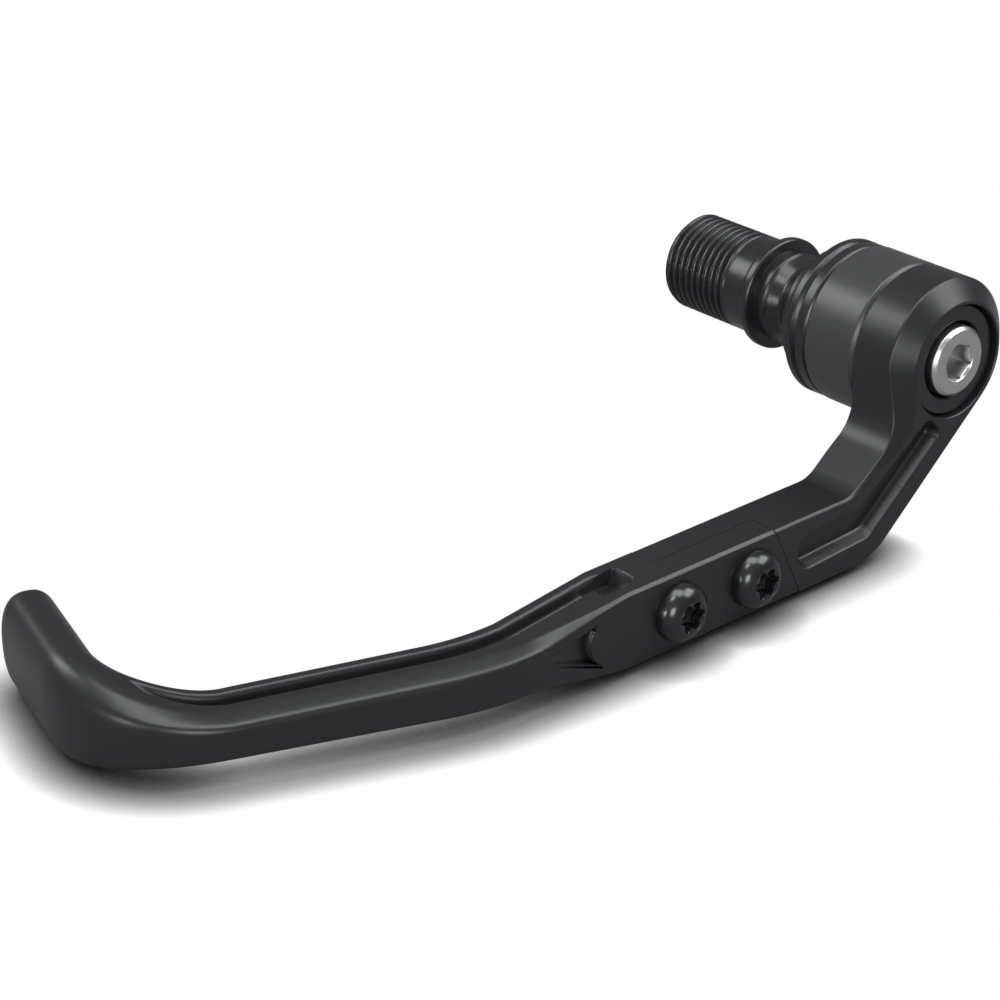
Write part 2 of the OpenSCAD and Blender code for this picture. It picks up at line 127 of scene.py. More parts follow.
def eased(profile, steps=5):
    """A profile of [x, r, rounding] with each corner eased by an arc of that reach."""
    out = []
    last = len(profile) - 1
    for i, p in enumerate(profile):
        at, reach = np.array(p[:2], float), (p[2] if len(p) > 2 else 0)
        if reach <= 0 or i in (0, last):
            out.append(at)
            continue
        before, after = (np.array(profile[j][:2], float) for j in (i - 1, i + 1))
        legs = []
        for q in (before, after):
            length = np.linalg.norm(q - at)
            legs.append(at + (q - at) / length * min(reach, 0.49 * length))
        for k in range(steps + 1):
            t = k / steps
            out.append(legs[0] * (1 - t) ** 2 + at * 2 * t * (1 - t) + legs[1] * t * t)
    return out


def spun(name, rings, turns=192, start=0.0, closed=False, smooth_angle=32):
    """Turns rings of (x, r) about the bar's axis. r may be an array, one value for each angle."""
    theta = start + 2 * math.pi * np.arange(turns) / turns
    points, index = [], []
    for x, r in rings:
        radius = np.broadcast_to(np.asarray(r, float), turns)
        if radius.max() < 1e-9:
            index.append([len(points)] * turns)
            points.append((x, 0, 0))
        else:
            index.append(list(range(len(points), len(points) + turns)))
            points += [(x, c * math.cos(t), c * math.sin(t)) for c, t in zip(radius, theta)]
    pairs = list(zip(index, index[1:])) + ([(index[-1], index[0])] if closed else [])
    faces = []
    for a, b in pairs:
        for i in range(turns):
            j = (i + 1) % turns
            corners = list(dict.fromkeys([a[i], a[j], b[j], b[i]]))
            if len(corners) > 2:
                faces.append(corners)
    return make_piece(name, points, faces, smooth_angle)


# Blade

BEND_AT, BEND_ANGLE, BEND_R = 104.7, 20.44, 39.0
STRAIGHT = 32.3
CURL_R, CURL_TURN, CURL_R2, CURL_TURN2 = 22.3, 46.0, 19.1, 39.5
END_LEN, CAP_LEN, END_H, END_W = 24.9, 5.4, 18.2, 9.9
SLIM_H, SLIM_DROP, GROOVE = 9.5, 0.75, 2.6
BLADE_FROM = 36.0
RIM_W, LIP_W, EDGE_R, OVAL_POWER = 2.3, 5.1, 0.6, 2.57
# Angle round the end's oval, in degrees, for each point of the half section
SPREAD = (180, 169, 158, 147, 138, 129, 120, 111, 103, 96, 89, 82, 74, 66, 57, 48, 38, 28, 18, 9, 0)
BEND_REACH = BEND_R * math.tan(math.radians(BEND_ANGLE / 2))
# Length and turn, in degrees, of each stretch of the blade's inner face
CHAIN = [(BEND_AT - BEND_REACH - BLADE_FROM, 0), (BEND_R * math.radians(BEND_ANGLE), -BEND_ANGLE),
         (STRAIGHT, 0), ((CURL_R - ARM_T / 2) * math.radians(CURL_TURN), -CURL_TURN),
         ((CURL_R2 - ARM_T / 2) * math.radians(CURL_TURN2), -CURL_TURN2), (END_LEN, 0)]
RUNS = np.cumsum([length for length, _ in CHAIN])
# Distances along it: end of the full height, starts of the bend, straight, curl and end, and the tip
FULL_S, BEND_S, STRAIGHT_S = FULL_LEN - BLADE_FROM, RUNS[0], RUNS[1]
CURL_S, END_S, TIP_S = RUNS[2], RUNS[4], RUNS[5]


def ramp(t):
    """t kept between 0 and 1."""
    return min(1.0, max(0.0, t))


def ease(t):
    """A soft step from 0 to 1."""
    return ramp(t) ** 2 * (3 - 2 * ramp(t))


def mix(a, b, t):
    return a + (b - a) * t


def walk(s):
    """Place and heading on the line of the blade's inner face at distance s."""
    x, y, heading = ARM_X, -BLADE_FROM, -90.0
    for i, (length, turn) in enumerate(CHAIN):
        d = s if i == len(CHAIN) - 1 else min(s, length)
        a, b = math.radians(heading), math.radians(heading + turn * d / length)
        if turn:
            r = length / math.radians(turn)
            x, y = x + r * (math.sin(b) - math.sin(a)), y + r * (math.cos(a) - math.cos(b))
        else:
            x, y = x + d * math.cos(a), y + d * math.sin(a)
        heading = math.degrees(b)
        s -= d
        if s <= 1e-9:
            break
    return x, y, heading


def half_section(s):
    """Upper half of the blade's section as (w, z), from the inner face to the outer face."""
    slim = mix(HALF_H, SLIM_H / 2, ramp((s - FULL_S) / (BEND_S - FULL_S)))
    late = ramp((s - BEND_S) / (CURL_S - BEND_S))
    slim -= SLIM_DROP * late
    growth = ease((s - CURL_S) / (END_S - CURL_S))
    h = mix(slim, END_H / 2, growth)
    g = GROOVE * ease((s - FULL_S + 2) / 4) * (1 - ease((s - CURL_S - 9) / 8))
    c = mix(0.8, 4.2, ease((s - FULL_S) / (STRAIGHT_S - FULL_S + 4)))
    f = (mix(HALF_H - 0.8, 3.3, ease((s - FULL_S + 1) / (BEND_S - FULL_S))) - 0.5 * late) * h / slim
    w = ARM_T
    lip = mix(LIP_W, RIM_W + 1.3, ease((s - CURL_S + 1) / 14))
    plain = [(0, 0), (0, 0.4 * h), (0, 0.7 * h),
             (0, h - EDGE_R), (0.3 * EDGE_R, h - 0.3 * EDGE_R), (EDGE_R, h),
             (RIM_W, h), (RIM_W + 0.4, h - g), (lip - 0.3, h - g),
             (lip, h - 0.35 * g), (lip + 0.25, h - 0.1 * g), (lip + 0.8, h),
             (mix(w - c, lip + 0.8, 0.4), h), (w - c, h),
             (w - 0.75 * c, mix(h, f, 0.17)), (w - 0.35 * c, mix(h, f, 0.52)),
             (w - 0.1 * c, mix(h, f, 0.82)), (w, f - 0.5),
             (w, 0.6 * f), (w, 0.3 * f), (w, 0)]
    k = ease((s - CURL_S + 1.7) / (END_S - CURL_S + 1.7))
    width = mix(ARM_T, END_W, growth)
    cap = 1.0 if s <= TIP_S - CAP_LEN else math.sqrt(max(0.0, 1 - ((s - TIP_S + CAP_LEN) / CAP_LEN) ** 2))
    out = []
    for (u, v), deg in zip(plain, SPREAD):
        cos_a, sin_a = math.cos(math.radians(deg)), math.sin(math.radians(deg))
        oval_w = math.copysign(abs(cos_a) ** (2 / OVAL_POWER), cos_a) * width / 2 + w / 2
        oval_z = abs(sin_a) ** (2 / OVAL_POWER) * h
        out.append((w / 2 + cap * (mix(u, oval_w, k) - w / 2), cap * mix(v, oval_z, k)))
    return out


def softened(ring, times=2, share=0.25):
    """A closed ring of points with its corners cut, so that every edge of the moulding is eased."""
    for _ in range(times):
        after = np.roll(ring, -1, axis=0)
        ring = np.stack([ring * (1 - share) + after * share, ring * share + after * (1 - share)], 1)
        ring = ring.reshape(-1, 2)
    return ring


def blade_ring(s):
    """The blade's section at distance s, in its place."""
    upper = half_section(s)
    ring = softened(np.array(upper + [(u, -v) for u, v in upper[-2:0:-1]]))
    x, y, heading = walk(s)
    a = math.radians(heading)
    return [(x - math.sin(a) * w, y + math.cos(a) * w, z - DROP) for w, z in ring]


def blade_stations():
    """Distances of the blade's sections, close together where its form changes fast."""
    out = [0.0]
    for stop, count in ((FULL_S - 2.5, 40), (FULL_S + 8, 26), (BEND_S, 12), (STRAIGHT_S, 20), (CURL_S, 30),
                        (END_S, 70), (TIP_S - CAP_LEN, 20)):
        out += list(np.linspace(out[-1], stop, count + 1)[1:])
    cap_angles = list(range(5, 86, 5)) + [87.5, 89, 89.7]
    return out + [TIP_S - CAP_LEN + CAP_LEN * math.sin(math.radians(a)) for a in cap_angles]


def lofted_blade(name):
    """The blade as one closed skin over its sections."""
    rings = [blade_ring(s) for s in blade_stations()]
    n = len(rings[0])
    points = [p for ring in rings for p in ring]
    faces = [[j * n + i, (j + 1) * n + i, (j + 1) * n + (i + 1) % n, j * n + (i + 1) % n]
             for j in range(len(rings) - 1) for i in range(n)]
    for ring, first in ((rings[0], 0), (rings[-1], (len(rings) - 1) * n)):
        points.append(tuple(np.mean(ring, axis=0)))
        faces += [[len(points) - 1, first + i, first + (i + 1) % n] for i in range(n)]
    return make_piece(name, points, faces)


SEAM_Y, SEAM_LEAN = -41.1, 24.6
SEAM_GAP = 0.12
TONGUE_END_R = 9.0
TONGUE_END_Y = -(SCREW_NEAR + SCREW_GAP) + 5


def seam_line(z):
    """Y of the slanted seam between blade and arm at a height."""
    return SEAM_Y - (z + DROP) * math.tan(math.radians(SEAM_LEAN))


def tongue_room():
    """The room in the blade for the arm's tongue, and the slanted seam, as one tool."""
    end = [(y - SEAM_GAP, z) for y, z in tongue_end(HALF_H + 1)]
    room = raised("tongue room", end + [(-BLADE_FROM + 1, BOTTOM_Z - 1), (-BLADE_FROM + 1, TOP_Z + 1)],
                  "x", ARM_X - 1, TONGUE_X + SEAM_GAP)
    lean = [(seam_line(z) - SEAM_GAP, z) for z in (TOP_Z + 1, BOTTOM_Z - 1)]
    seam = raised("seam", lean + [(-BLADE_FROM + 1, BOTTOM_Z - 1), (-BLADE_FROM + 1, TOP_Z + 1)],
                  "x", TONGUE_X - 1, FACE_X + 1)
    return cut(room, seam, "UNION")


def groove_start(side):
    """The pocket at the start of the groove, with its floor rising outwards. side is 1 above, -1 below."""
    inner, outer = ARM_X + RIM_W + 0.2, FACE_X - 2.2
    near, far = -FULL_LEN + 4.6, -FULL_LEN - 2.9
    top, clear = HALF_H, HALF_H + 1
    wedge = raised("groove floor", [(u, -DROP + side * v) for u, v in (
        (inner, top - GROOVE), (inner + 0.9, top - GROOVE), (outer, top + 0.02), (outer, clear),
        (inner, clear))], "y", far, near)
    plan = raised("groove plan", rounded([
        (inner, near), (outer - 1.2, near - 0.1), (outer, near - 3.3), (outer, far + 0.1),
        (outer - 3, far - 0.05), (inner, far)], [0.7, 1.6, 1.6, 0, 0, 0]),
                  "z", *sorted((-DROP, -DROP + side * (HALF_H + 2))))
    deep = top - GROOVE - 0.1
    wall = raised("groove near wall", [(y, -DROP + side * v) for y, v in (
        (near + 0.3, clear), (near + 0.1, top), (near - 0.3, top - 0.5), (near - 1.5, deep), (far - 1, deep),
        (far - 1, clear))], "x", ARM_X, FACE_X)
    return cut(cut(wedge, plan, "INTERSECT"), wall, "INTERSECT")


def hollow(outline, y0, y1, depth):
    """A hollow in the outer face, sinking evenly from the face at y0 to a depth at y1."""
    form = raised("hollow", [(y, z - DROP) for y, z in outline], "x", FACE_X - depth - 1, FACE_X + 1)
    floor = raised("hollow floor", [(FACE_X + 1, y0), (FACE_X, y0), (FACE_X - depth, y1), (FACE_X + 1, y1)],
                   "z", BOTTOM_Z, TOP_Z)
    return cut(form, floor, "INTERSECT")


# The hollow behind the arc on the outer face: where it starts and ends, its depth and the arc
HOLLOW_FROM, HOLLOW_TO, HOLLOW_DEPTH = -FULL_LEN - 17.2, -FULL_LEN - 5.8, 1.9
HOLLOW_R, HOLLOW_MIDDLE = 4.48, (HOLLOW_TO + 1.83, 0.25)


def make_blade():
    """The black plastic blade, with its lap over the arm's tongue."""
    blade = lofted_blade("blade")
    blade.modifiers.clear()
    cut(blade, tongue_room())
    for y in SCREW_YS:
        cut(blade, disc_tool("screw hole", TONGUE_X - 1, FACE_X + 1, SCREW_HOLE_R, y, -DROP))
    for side in (1, -1):
        cut(blade, groove_start(side))
    y0, y1 = HOLLOW_FROM, HOLLOW_TO
    arc = [(HOLLOW_MIDDLE[0] + HOLLOW_R * math.cos(a), HOLLOW_MIDDLE[1] + HOLLOW_R * math.sin(a))
           for a in np.radians(np.linspace(242, 123, 25))]
    cut(blade, hollow([(y0 + 0.4, 1.9), (y0, 0.8)] + arc, y0, y1, HOLLOW_DEPTH))
    cut(blade, hollow([(y0, 0.55), (y0, -0.1), (y1, -4.5), (y1 - 0.1, -3.95)], y0, y1, 0.6 * HOLLOW_DEPTH))
    shade(blade, 30)
    return blade


# Arm

def rounded(points, radii, steps=8):
    """An outline with each corner replaced by an arc of its own radius."""
    out = []
    for i, (p, r) in enumerate(zip(points, radii)):
        p = np.array(p, float)
        if r <= 0:
            out.append(p)
            continue
        back, on = (np.array(points[j % len(points)], float) - p for j in (i - 1, i + 1))
        back, on = back / np.linalg.norm(back), on / np.linalg.norm(on)
        half = math.acos(float(back @ on)) / 2
        centre = p + (back + on) / np.linalg.norm(back + on) * r / math.sin(half)
        first, last = (p + leg * r / math.tan(half) - centre for leg in (back, on))
        begin = math.atan2(first[1], first[0])
        turn = (math.atan2(last[1], last[0]) - begin + 3 * math.pi) % (2 * math.pi) - math.pi
        for k in range(steps + 1):
            a = begin + turn * k / steps
            out.append(centre + r * np.array([math.cos(a), math.sin(a)]))
    return out


def spread_out(points, step):
    """A closed outline with points added so that none are farther apart than a step."""
    out = []
    for p, q in zip(points, points[1:] + points[:1]):
        n = max(1, math.ceil(np.linalg.norm(q - p) / step))
        out += [p + (q - p) * k / n for k in range(n)]
    return np.array([p for i, p in enumerate(out) if np.linalg.norm(p - out[i - 1]) > 1e-4])


def inwards(outline):
    """The inward normal at each point of an anticlockwise outline."""
    ahead = np.roll(outline, -1, 0) - outline
    ahead /= np.linalg.norm(ahead, axis=1)[:, None]
    along = ahead + np.roll(ahead, 1, 0)
    along /= np.linalg.norm(along, axis=1)[:, None]
    return np.stack([-along[:, 1], along[:, 0]], 1)


def stacked(name, outline, profiles, smooth_angle=32):
    """A plate from an outline in y and z and, at each of its points, a profile of (x, inset)."""
    inward = inwards(outline)
    levels, n = len(profiles[0]), len(outline)
    points = [(profile[k][0], *(p + m * profile[k][1])) for k in range(levels)
              for p, m, profile in zip(outline, inward, profiles)]
    faces = [[k * n + i, k * n + (i + 1) % n, (k + 1) * n + (i + 1) % n, (k + 1) * n + i]
             for k in range(levels - 1) for i in range(n)]
    faces += [list(range(n))[::-1], list(range((levels - 1) * n, levels * n))]
    return make_piece(name, points, faces, smooth_angle)


ARM_SLOPE = math.radians(35)
WALL_R = STACK_R - 0.05
# Distance down the arm's upper side from level with the bar, and the chamfer's reach and depth there
RUNOUT = ((-2.5, 3.65, 3.1), (0, 3.9, 2.75), (3.5, 4.1, 2.1), (5.3, 4.1, 1.6), (7.3, 3.8, 1.2),
          (8.7, 3.2, 0.95), (10, 2.6, 0.8), (12.5, 1.9, 0.6), (14.5, 1.2, 0.5), (18, 0.55, 0.5))
# Corners of the long pocket in Y and Z with their radii, its depth, and how far its wall leans in
POCKET_RIM = ((-38.7, -21.05, 3.0), (-38.7, -28.05, 3.0), (-20.8, -27.06, 5), (-3.0, -12.44, 1.9),
              (-6.6, -8.7, 1.9), (-24, -20.5, 4))
POCKET_DEPTH, POCKET_LEAN = 2.4, 1.1
BACK_EDGE, MIN_EDGE = 0.55, 0.5


def tongue_end(reach, steps=24):
    """The rounded end of the arm's tongue, from reach above its middle to reach below."""
    a = math.asin(reach / TONGUE_END_R)
    return [(TONGUE_END_Y - TONGUE_END_R * math.cos(a - 2 * a * k / steps),
             -DROP + TONGUE_END_R * math.sin(a - 2 * a * k / steps)) for k in range(steps + 1)]


def arm_outline():
    """The arm with its ring and tongue, seen along the bar, anticlockwise from the ring's lower side."""
    side = (math.sin(ARM_SLOPE), -math.cos(ARM_SLOPE))
    low_y = WALL_R * side[0] - (-BOTTOM_Z + WALL_R * side[1]) / math.tan(ARM_SLOPE)
    end = tongue_end(HALF_H)
    ring = [(STACK_R * math.cos(a), STACK_R * math.sin(a)) for a in np.radians(np.linspace(-54, 176, 116))]
    upper = [(-WALL_R, -WALL_R * math.tan(ARM_SLOPE)), (TOP_Z / math.tan(ARM_SLOPE), TOP_Z)]
    corners = ring + upper + end + [(low_y, BOTTOM_Z)]
    neck_r, top_elbow_r, low_elbow_r = 8, 6, 14
    radii = [0] * len(ring) + [neck_r, top_elbow_r] + [0] * len(end) + [low_elbow_r]
    return spread_out(rounded(corners, radii, 14), 0.8)


def arm_chamfer(outline):
    """Reach and depth of the edge chamfer at each point of the arm's outline."""
    down = np.linalg.norm(np.roll(outline, -1, 0) - outline, axis=1)
    travelled = np.concatenate([[0], np.cumsum(down)[:-1]])
    level = next(i for i in range(len(outline)) if outline[i][0] < 0 and outline[i][1] < 0)
    travelled -= travelled[level]
    at, reach, depth = np.array(RUNOUT).T
    reach, depth = np.interp(travelled, at, reach), np.interp(travelled, at, depth)
    for _ in range(6):  # soften the table's corners
        reach, depth = ((np.roll(v, 1) + 2 * v + np.roll(v, -1)) / 4 for v in (reach, depth))
    reach, depth = (np.where(travelled < -8, v[level - 20], v) for v in (reach, depth))
    # On the lower side it narrows along a straight line across the face, below the ring
    line_angle, line_from, ring_low = math.radians(-49.5), 10.87, -11
    side = outline @ (math.sin(ARM_SLOPE), -math.cos(ARM_SLOPE))
    low_wall = (side > WALL_R - 0.3) & (outline[:, 1] < ring_low)
    narrow = outline @ (math.cos(line_angle), math.sin(line_angle)) - line_from
    reach = np.where(low_wall, np.maximum(MIN_EDGE, narrow), reach)
    depth = np.where(low_wall, np.maximum(MIN_EDGE, narrow * 0.85), depth)
    return reach, depth


def arm_pocket():
    """The long pocket in the arm's outer face, with sloping walls, as a tool."""
    corners, radii = [corner[:2] for corner in POCKET_RIM], [corner[2] for corner in POCKET_RIM]
    rim = spread_out(rounded(corners, radii), 1.0)
    floor = FACE_X - POCKET_DEPTH
    profile = eased([(FACE_X + 0.5, -0.42), (FACE_X, -0.4), (FACE_X - 0.06, 0, 0.35),
                     (floor, POCKET_LEAN, 0.6), (floor, POCKET_LEAN + 0.45)])
    return stacked("arm pocket", rim, [profile] * len(rim))


def disc_tool(name, x0, x1, r, y=0.0, z=0.0, turns=96):
    """A plain cylinder along the bar, to cut a hole."""
    ring = [(y + r * math.cos(a), z + r * math.sin(a)) for a in 2 * math.pi * np.arange(turns) / turns]
    return raised(name, ring, "x", x0, x1)


def make_arm():
    """The black clamp arm: ring, slope, elbow and tongue in one plate."""
    outline = arm_outline()
    # The back edge is broken where it runs on into the blade's, and nearly sharp at the ring
    back = BACK_EDGE * np.clip((-outline[:, 0] - 20) / 8, 0.05, 1)
    profiles = [eased([(ARM_X, e + 0.5), (ARM_X, e, 0.2), (ARM_X + e, 0, 0.25), (FACE_X - d, 0, 0.3),
                       (FACE_X, a, 0.3), (FACE_X, a + 0.3)]) for e, a, d in zip(back, *arm_chamfer(outline))]
    arm = stacked("clamp arm", outline, profiles)
    arm.modifiers.clear()
    past_tongue = -90
    cut(arm, raised("blade side", [(seam_line(TOP_Z + 1), TOP_Z + 1), (seam_line(BOTTOM_Z - 1), BOTTOM_Z - 1),
                                   (past_tongue, BOTTOM_Z - 1), (past_tongue, TOP_Z + 1)],
                    "x", TONGUE_X, FACE_X + 1))
    cut(arm, spun("washer seat", eased([
        (ARM_X + WEB, 0), (ARM_X + WEB, RECESS_R), (FACE_X - 0.2, RECESS_R, 0.15),
        (FACE_X + 0.1, RECESS_R + 0.25), (FACE_X + 0.1, 0)])))
    cut(arm, disc_tool("bore", ARM_X - 1, FACE_X, BORE_R))
    for y in SCREW_YS:
        cut(arm, disc_tool("screw hole", ARM_X - 1, FACE_X, SCREW_HOLE_R, y, -DROP))
    cut(arm, arm_pocket())
    shade(arm, 30)
    return arm


# Turned parts

def make_sleeve():
    """The grey sleeve weight between the ring and the thin disc."""
    return spun("sleeve", eased([
        (SLEEVE_X, BORE_R, 0), (SLEEVE_X, STACK_R - 0.3, 0.15), (SLEEVE_X + 0.3, STACK_R, 0.2),
        (ARM_X - 1.2, STACK_R, 0.25), (ARM_X, STACK_R - 1.2, 0.2), (ARM_X, BORE_R, 0)]), closed=True)


def make_disc():
    """The thin dark disc between the sleeve and the adaptor's collar."""
    r = STACK_R - 0.1
    return spun("thin disc", eased([
        (DISC_X, BORE_R, 0), (DISC_X, r - 0.3, 0.1), (DISC_X + 0.3, r, 0.15),
        (SLEEVE_X - 0.5, r, 0.15), (SLEEVE_X, r - 0.5, 0.15), (SLEEVE_X, BORE_R, 0)]), closed=True)


def make_washer():
    """The cup washer in the ring's recess, with a well for the screw's head."""
    out, well, top = RECESS_R - 0.12, 7.0, FACE_X - 1.1
    return spun("cup washer", eased([
        (ARM_X + WEB, BORE_R, 0), (ARM_X + WEB, out, 0), (top - 0.5, out, 0.2), (top, out - 0.4, 0.2),
        (top, well + 0.3, 0.2), (top - 0.3, well, 0.15), (HEAD_X, well, 0),
        (HEAD_X, BORE_R, 0)]), closed=True)


def hexagon(across, turns):
    """Radius of a hexagon at each angle, its first corner at 0."""
    a = np.arange(turns) * 2 * math.pi / turns
    return across / 2 / np.cos((a % (math.pi / 3)) - math.pi / 6)


def make_centre_screw(turns=192):
    """The bright socket head screw, with a hexagon of 6 mm."""
    top, r, lip_r = HEAD_X + 8.6, 6.4, 3.46
    hexa = hexagon(6.0, turns)
    end = HEAD_X - SHANK_LEN
    rings = [(end, 0), (end, SHANK_R - 1), (end + 1, SHANK_R), (HEAD_X, SHANK_R)]
    rings += eased([(HEAD_X, SHANK_R, 0), (HEAD_X, r, 0.2), (top - 0.7, r, 0.2), (top, r - 0.7, 0.25),
                    (top, lip_r + 0.16, 0.08), (top - 0.2, lip_r, 0)])[1:]
    rings += [(top - 0.22, np.minimum(lip_r, hexa + 0.14)), (top - 0.42, hexa), (top - 4.4, hexa),
              (top - 4.4, hexa * 0.9), (top - 5.4, 0)]
    return spun("hexagon screw", rings, turns, math.radians(40), smooth_angle=35)


def lobes(outer, inner, turns):
    """Radius of a six-lobe socket at each angle."""
    wave = np.cos(6 * np.arange(turns) * 2 * math.pi / turns)
    return mix(inner, outer, 0.5 + 0.5 * np.sign(wave) * np.abs(wave) ** 0.7)


def screw_form(turns=192):
    """One button head screw, with its axis on the bar's axis."""
    head_r, head_h, land, shank_r, dome = 5.2, 3.3, 3.1, 3.0, math.radians(70)
    socket = lobes(2.75, 2.0, turns)
    top = FACE_X + head_h
    rings = [(ARM_X + 0.8, 0), (ARM_X + 0.8, 2.3), (ARM_X + 1.5, shank_r), (FACE_X + 0.02, shank_r),
             (FACE_X + 0.02, 4.7), (FACE_X + 0.05, head_r - 0.12), (FACE_X + 0.2, head_r)]
    for a in np.radians(range(0, 71, 5)):
        rise, draw = math.sin(a) / math.sin(dome), (1 - math.cos(a)) / (1 - math.cos(dome))
        rings.append((FACE_X + 0.3 + (head_h - 0.42) * rise, head_r - (head_r - land) * draw))
    rings += [(top - 0.03, land - 0.14), (top, land - 0.32), (top - 0.03, np.maximum(socket + 0.1, 2.66)),
              (top - 0.16, socket + 0.04), (top - 0.3, socket), (top - 2.2, socket),
              (top - 2.25, socket * 0.9), (top - 2.9, 0)]
    return spun("screw form", rings, turns, smooth_angle=40)


# The adaptor's thread: outer radius, depth, pitch, its first ring's radius, its end and its run-out
THREAD_R, THREAD_DEPTH, THREAD_PITCH, THREAD_TIP_R, THREAD_END, THREAD_FADE = 9.0, 0.78, 1.56, 8.0, -4.0, 1.2


def adaptor_rings():
    """The adaptor's profile past its thread: flange, waist, cone and collar, and the tapped bore."""
    neck, cone = FLANGE_T + 4.6, ADAPTOR - 5.4
    profile = [(0.0, THREAD_R, 0), (FLANGE_T / 2, FLANGE_R, 0.2), (FLANGE_T - 0.3, FLANGE_R, 0.12),
               (FLANGE_T, FLANGE_R - 0.3, 0.12), (FLANGE_T, 8.4, 0.05), (FLANGE_T + 2.1, 8.4, 0.12),
               (FLANGE_T + 2.5, 8.0, 0)]
    profile += [(neck - 2.1 + 2.1 * math.sin(a), WAIST_R + 1.0 * (1 - math.sin(a)), 0)
                for a in np.radians(range(10, 91, 10))]
    profile += [(mix(neck, cone, t), WAIST_R + 4.9 * t * t, 0) for t in np.linspace(0.1, 1, 10)]
    profile += [(cone + 3.3 * math.sin(a), STACK_R - 2.6 + 2.55 * (1 - math.cos(a)), 0)
                for a in np.radians(range(10, 91, 8))]
    profile += [(ADAPTOR - 0.9, STACK_R - 0.05, 0.15), (ADAPTOR, STACK_R - 0.8, 0.15),
                (ADAPTOR, SHANK_R, 0)]
    end = HEAD_X - SHANK_LEN - TAP_SPARE
    return eased(profile) + [(end, SHANK_R), (end - 1, 0)]


def make_adaptor_body(turns=192):
    """Everything of the adaptor but its threaded stem, open where the stem joins."""
    return spun("threaded adaptor", [(THREAD_END, THREAD_R)] + adaptor_rings(), turns)


# Geometry Nodes

class Tree:
    """A small helper to build a Geometry Nodes tree and use it on an object."""

    def __init__(self, name, inputs):
        self.tree = bpy.data.node_groups.new(name, "GeometryNodeTree")
        self.sockets = {}
        new_socket = self.tree.interface.new_socket
        for label, kind in inputs:
            self.sockets[label] = new_socket(label, in_out="INPUT", socket_type="NodeSocket" + kind)
        new_socket("Geometry", in_out="OUTPUT", socket_type="NodeSocketGeometry")
        self.start = self.tree.nodes.new("NodeGroupInput")
        self.end = self.tree.nodes.new("NodeGroupOutput")

    def node(self, kind, settings=(), **inputs):
        """A node with its settings and inputs, an input named by its label or as i and its number."""
        made = self.tree.nodes.new(kind)
        for key, value in dict(settings).items():
            setattr(made, key, value)
        for key, value in inputs.items():
            socket = made.inputs[int(key[1:])] if key[0] == "i" and key[1:].isdigit() else made.inputs[key]
            self.feed(value, socket)
        return made

    def feed(self, value, socket):
        """Sets an input to a value, another node's output or one of the tree's own inputs."""
        if isinstance(value, str) and value in self.sockets:
            self.tree.links.new(self.start.outputs[value], socket)
        elif isinstance(value, bpy.types.NodeSocket):
            self.tree.links.new(value, socket)
        else:
            socket.default_value = value

    def math(self, operation, a, b=0.0, clamp=False):
        settings = {"operation": operation, "use_clamp": clamp}
        return self.node("ShaderNodeMath", settings, i0=a, i1=b).outputs[0]

    def close(self, geometry, material):
        """Ends the tree with this geometry in this material."""
        real = self.node("GeometryNodeRealizeInstances", i0=geometry).outputs[0]
        painted = self.node("GeometryNodeSetMaterial", i0=real, Material=material).outputs[0]
        self.tree.links.new(painted, self.end.inputs[0])

    def apply(self, obj, **values):
        """Runs the tree on an object and keeps what it makes."""
        mod = obj.modifiers.new(self.tree.name, "NODES")
        mod.node_group = self.tree
        for label, value in values.items():
            mod[self.sockets[label.replace("_", " ")].identifier] = value
        return finished(obj)


